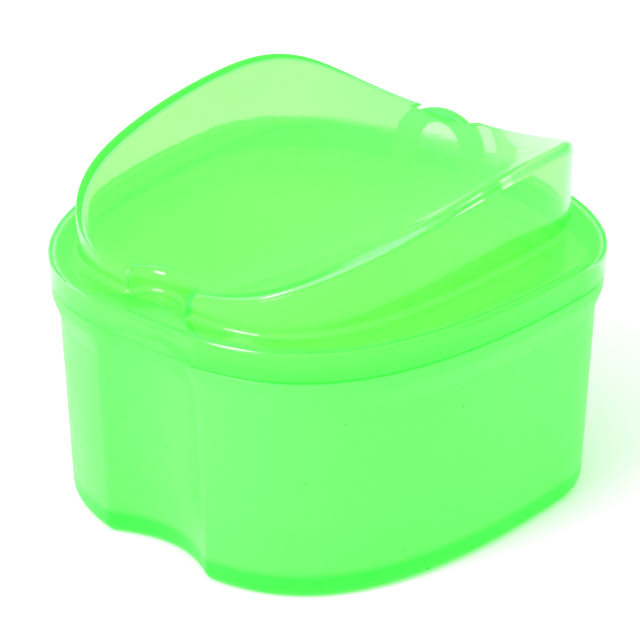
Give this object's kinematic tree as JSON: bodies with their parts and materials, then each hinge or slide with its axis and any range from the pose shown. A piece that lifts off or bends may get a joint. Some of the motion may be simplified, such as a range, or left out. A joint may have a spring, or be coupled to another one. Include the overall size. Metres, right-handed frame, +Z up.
{
  "type": "denture case",
  "caption": "Translucent soaking case with a thumb groove in front, a press-on lid with a wave-shaped dome, and a lift-out strainer basket whose tall handle stands through the lid.",
  "frame": {"origin": "middle of the bounding box at the table", "axes": "+Z up, -Y to the thumb groove in front, +X across"},
  "size_m": [0.0904, 0.0914, 0.0655],
  "materials": {
    "tub_plastic": "satin translucent neon green polypropylene",
    "basket_plastic": "satin translucent neon green polypropylene",
    "lid_plastic": "glossy translucent neon green polypropylene"
  },
  "bodies": {
    "tub": {"base_container": "tub_plastic"},
    "basket": {"strainer_basket": "basket_plastic"},
    "lid": {"lid": "lid_plastic"}
  },
  "joints": [
    {"name": "basket_lift", "type": "slide", "parent": "tub", "child": "basket", "axis": [0, 0, 1], "range_m": [0, 0.05]},
    {"name": "lid_lift", "type": "slide", "parent": "basket", "child": "lid", "axis": [0, 0, 1], "range_m": [0, 0.03]}
  ]
}
